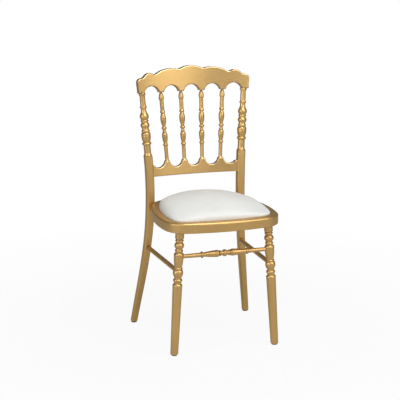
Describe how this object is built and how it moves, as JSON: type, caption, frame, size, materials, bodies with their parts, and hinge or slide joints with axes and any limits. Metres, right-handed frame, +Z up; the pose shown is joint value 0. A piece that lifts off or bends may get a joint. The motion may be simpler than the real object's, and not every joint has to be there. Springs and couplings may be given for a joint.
{
  "type": "parisian chair",
  "caption": "Gold-painted turned-wood side chair with a lobed, bowed crest rail, turned spindles, splayed legs, stretchers and a white domed drop-in seat pad.",
  "frame": {"origin": "middle of the bounding box, on the floor", "axes": "+Z up; the front of the chair faces -Y; +X is to the right as seen from the front, and left and right in the node names are as seen from the front"},
  "size_m": [0.433, 0.4226, 0.8896],
  "materials": {
    "gold_paint": "satin gold paint on turned hardwood",
    "bare_wood": "unpainted birch plywood and beech",
    "steel": "zinc-plated wood screws",
    "glide_nylon": "moulded nail-in glide",
    "foam": "open-cell seat foam",
    "white_cover": "smooth white leatherette"
  },
  "bodies": {
    "frame": {"rear_post_left": "gold_paint", "rear_post_right": "gold_paint", "crest_rail": "gold_paint", "lower_back_rail": "gold_paint", "back_spindle_1": "gold_paint", "back_spindle_2": "gold_paint", "back_spindle_3": "gold_paint", "back_spindle_4": "gold_paint", "seat_front_rail": "gold_paint", "seat_side_rail_left": "gold_paint", "seat_side_rail_right": "gold_paint", "seat_rear_rail": "gold_paint", "front_leg_left": "gold_paint", "front_leg_right": "gold_paint", "front_stretcher": "gold_paint", "side_stretcher_left": "gold_paint", "side_stretcher_right": "gold_paint", "corner_block_front_left": "gold_paint", "corner_block_front_right": "gold_paint", "corner_block_rear_left": "gold_paint", "corner_block_rear_right": "gold_paint", "seat_frame_dowels": "bare_wood", "back_rail_dowels": "bare_wood", "corner_block_screws": "steel", "post_screws": "steel", "glide_front_left": "glide_nylon", "glide_front_right": "glide_nylon", "glide_rear_left": "glide_nylon", "glide_rear_right": "glide_nylon"},
    "seat_pad": {"seat_board": "bare_wood", "seat_foam": "foam", "seat_cover": "white_cover"}
  },
  "joints": [
    {"name": "seat_pad_lift", "type": "slide", "parent": "frame", "child": "seat_pad", "axis": [0, 0, 1], "range_m": [0, 0.12]}
  ]
}
